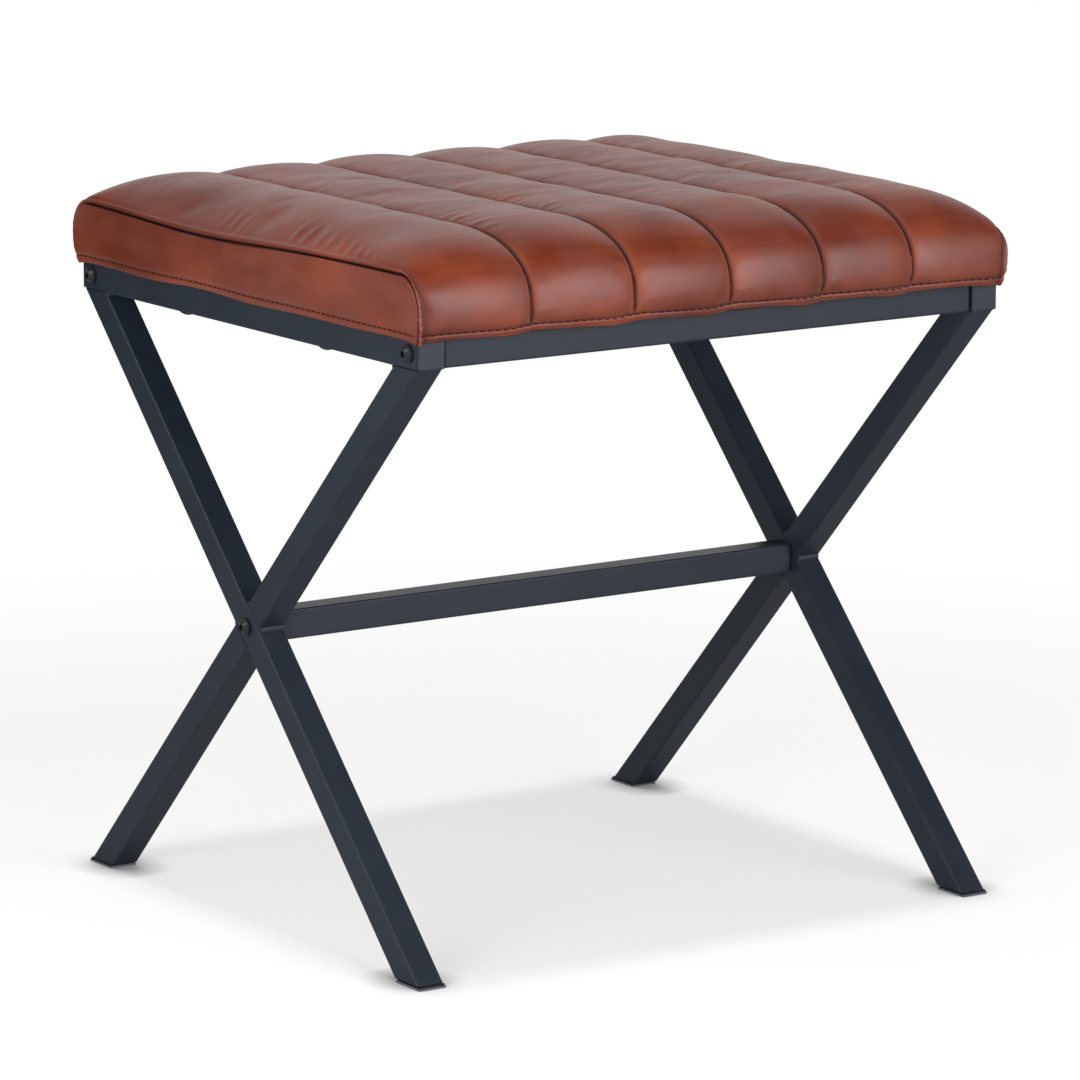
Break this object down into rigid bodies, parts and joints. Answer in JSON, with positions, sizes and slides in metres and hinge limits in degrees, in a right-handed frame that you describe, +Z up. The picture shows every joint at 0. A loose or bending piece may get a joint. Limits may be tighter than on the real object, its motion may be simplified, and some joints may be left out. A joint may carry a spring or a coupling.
{
  "type": "upholstered stool",
  "caption": "Low backless seat: a channelled reddish-brown leather-look cushion on a dark square-tube frame with crossed legs at each end and a stretcher between them.",
  "frame": {"origin": "on the floor, under the centre of the stool's outline", "axes": "+Z up, X along the long side of the seat from one crossed side frame to the other, -Y towards the front; the cover's channels run along Y"},
  "size_m": [0.473, 0.441, 0.486],
  "materials": {
    "frame_steel": "satin anthracite powder coat",
    "plastic": "moulded, fine matt",
    "black_hardware": "black oxide, slightly oily",
    "zinc_inserts": "zinc plated",
    "black_cloth": "spun-bonded, point-embossed",
    "plywood": "raw, sanded",
    "foam": "open-cell polyurethane foam",
    "leather": "semi-gloss, mottled pull-up colour"
  },
  "bodies": {
    "root": {"left_side_rail": "frame_steel", "right_side_rail": "frame_steel", "front_rail": "frame_steel", "back_rail": "frame_steel", "stretcher": "frame_steel", "left_through_leg": "frame_steel", "left_upper_half_leg": "frame_steel", "left_lower_half_leg": "frame_steel", "right_through_leg": "frame_steel", "right_upper_half_leg": "frame_steel", "right_lower_half_leg": "frame_steel", "left_front_end_cap": "plastic", "left_back_end_cap": "plastic", "right_front_end_cap": "plastic", "right_back_end_cap": "plastic", "left_front_foot_plug": "plastic", "left_back_foot_plug": "plastic", "right_front_foot_plug": "plastic", "right_back_foot_plug": "plastic", "rail_end_plates": "black_hardware", "stretcher_end_plates": "black_hardware", "rail_bolts": "black_hardware", "stretcher_bolts": "black_hardware", "bolt_washers": "black_hardware", "seat_screws": "black_hardware", "seat_inserts": "zinc_inserts", "under_cloth": "black_cloth", "seat_board": "plywood", "foam_core": "foam", "left_side_panel": "leather", "right_side_panel": "leather", "channel_panel": "leather"}
  },
  "joints": []
}
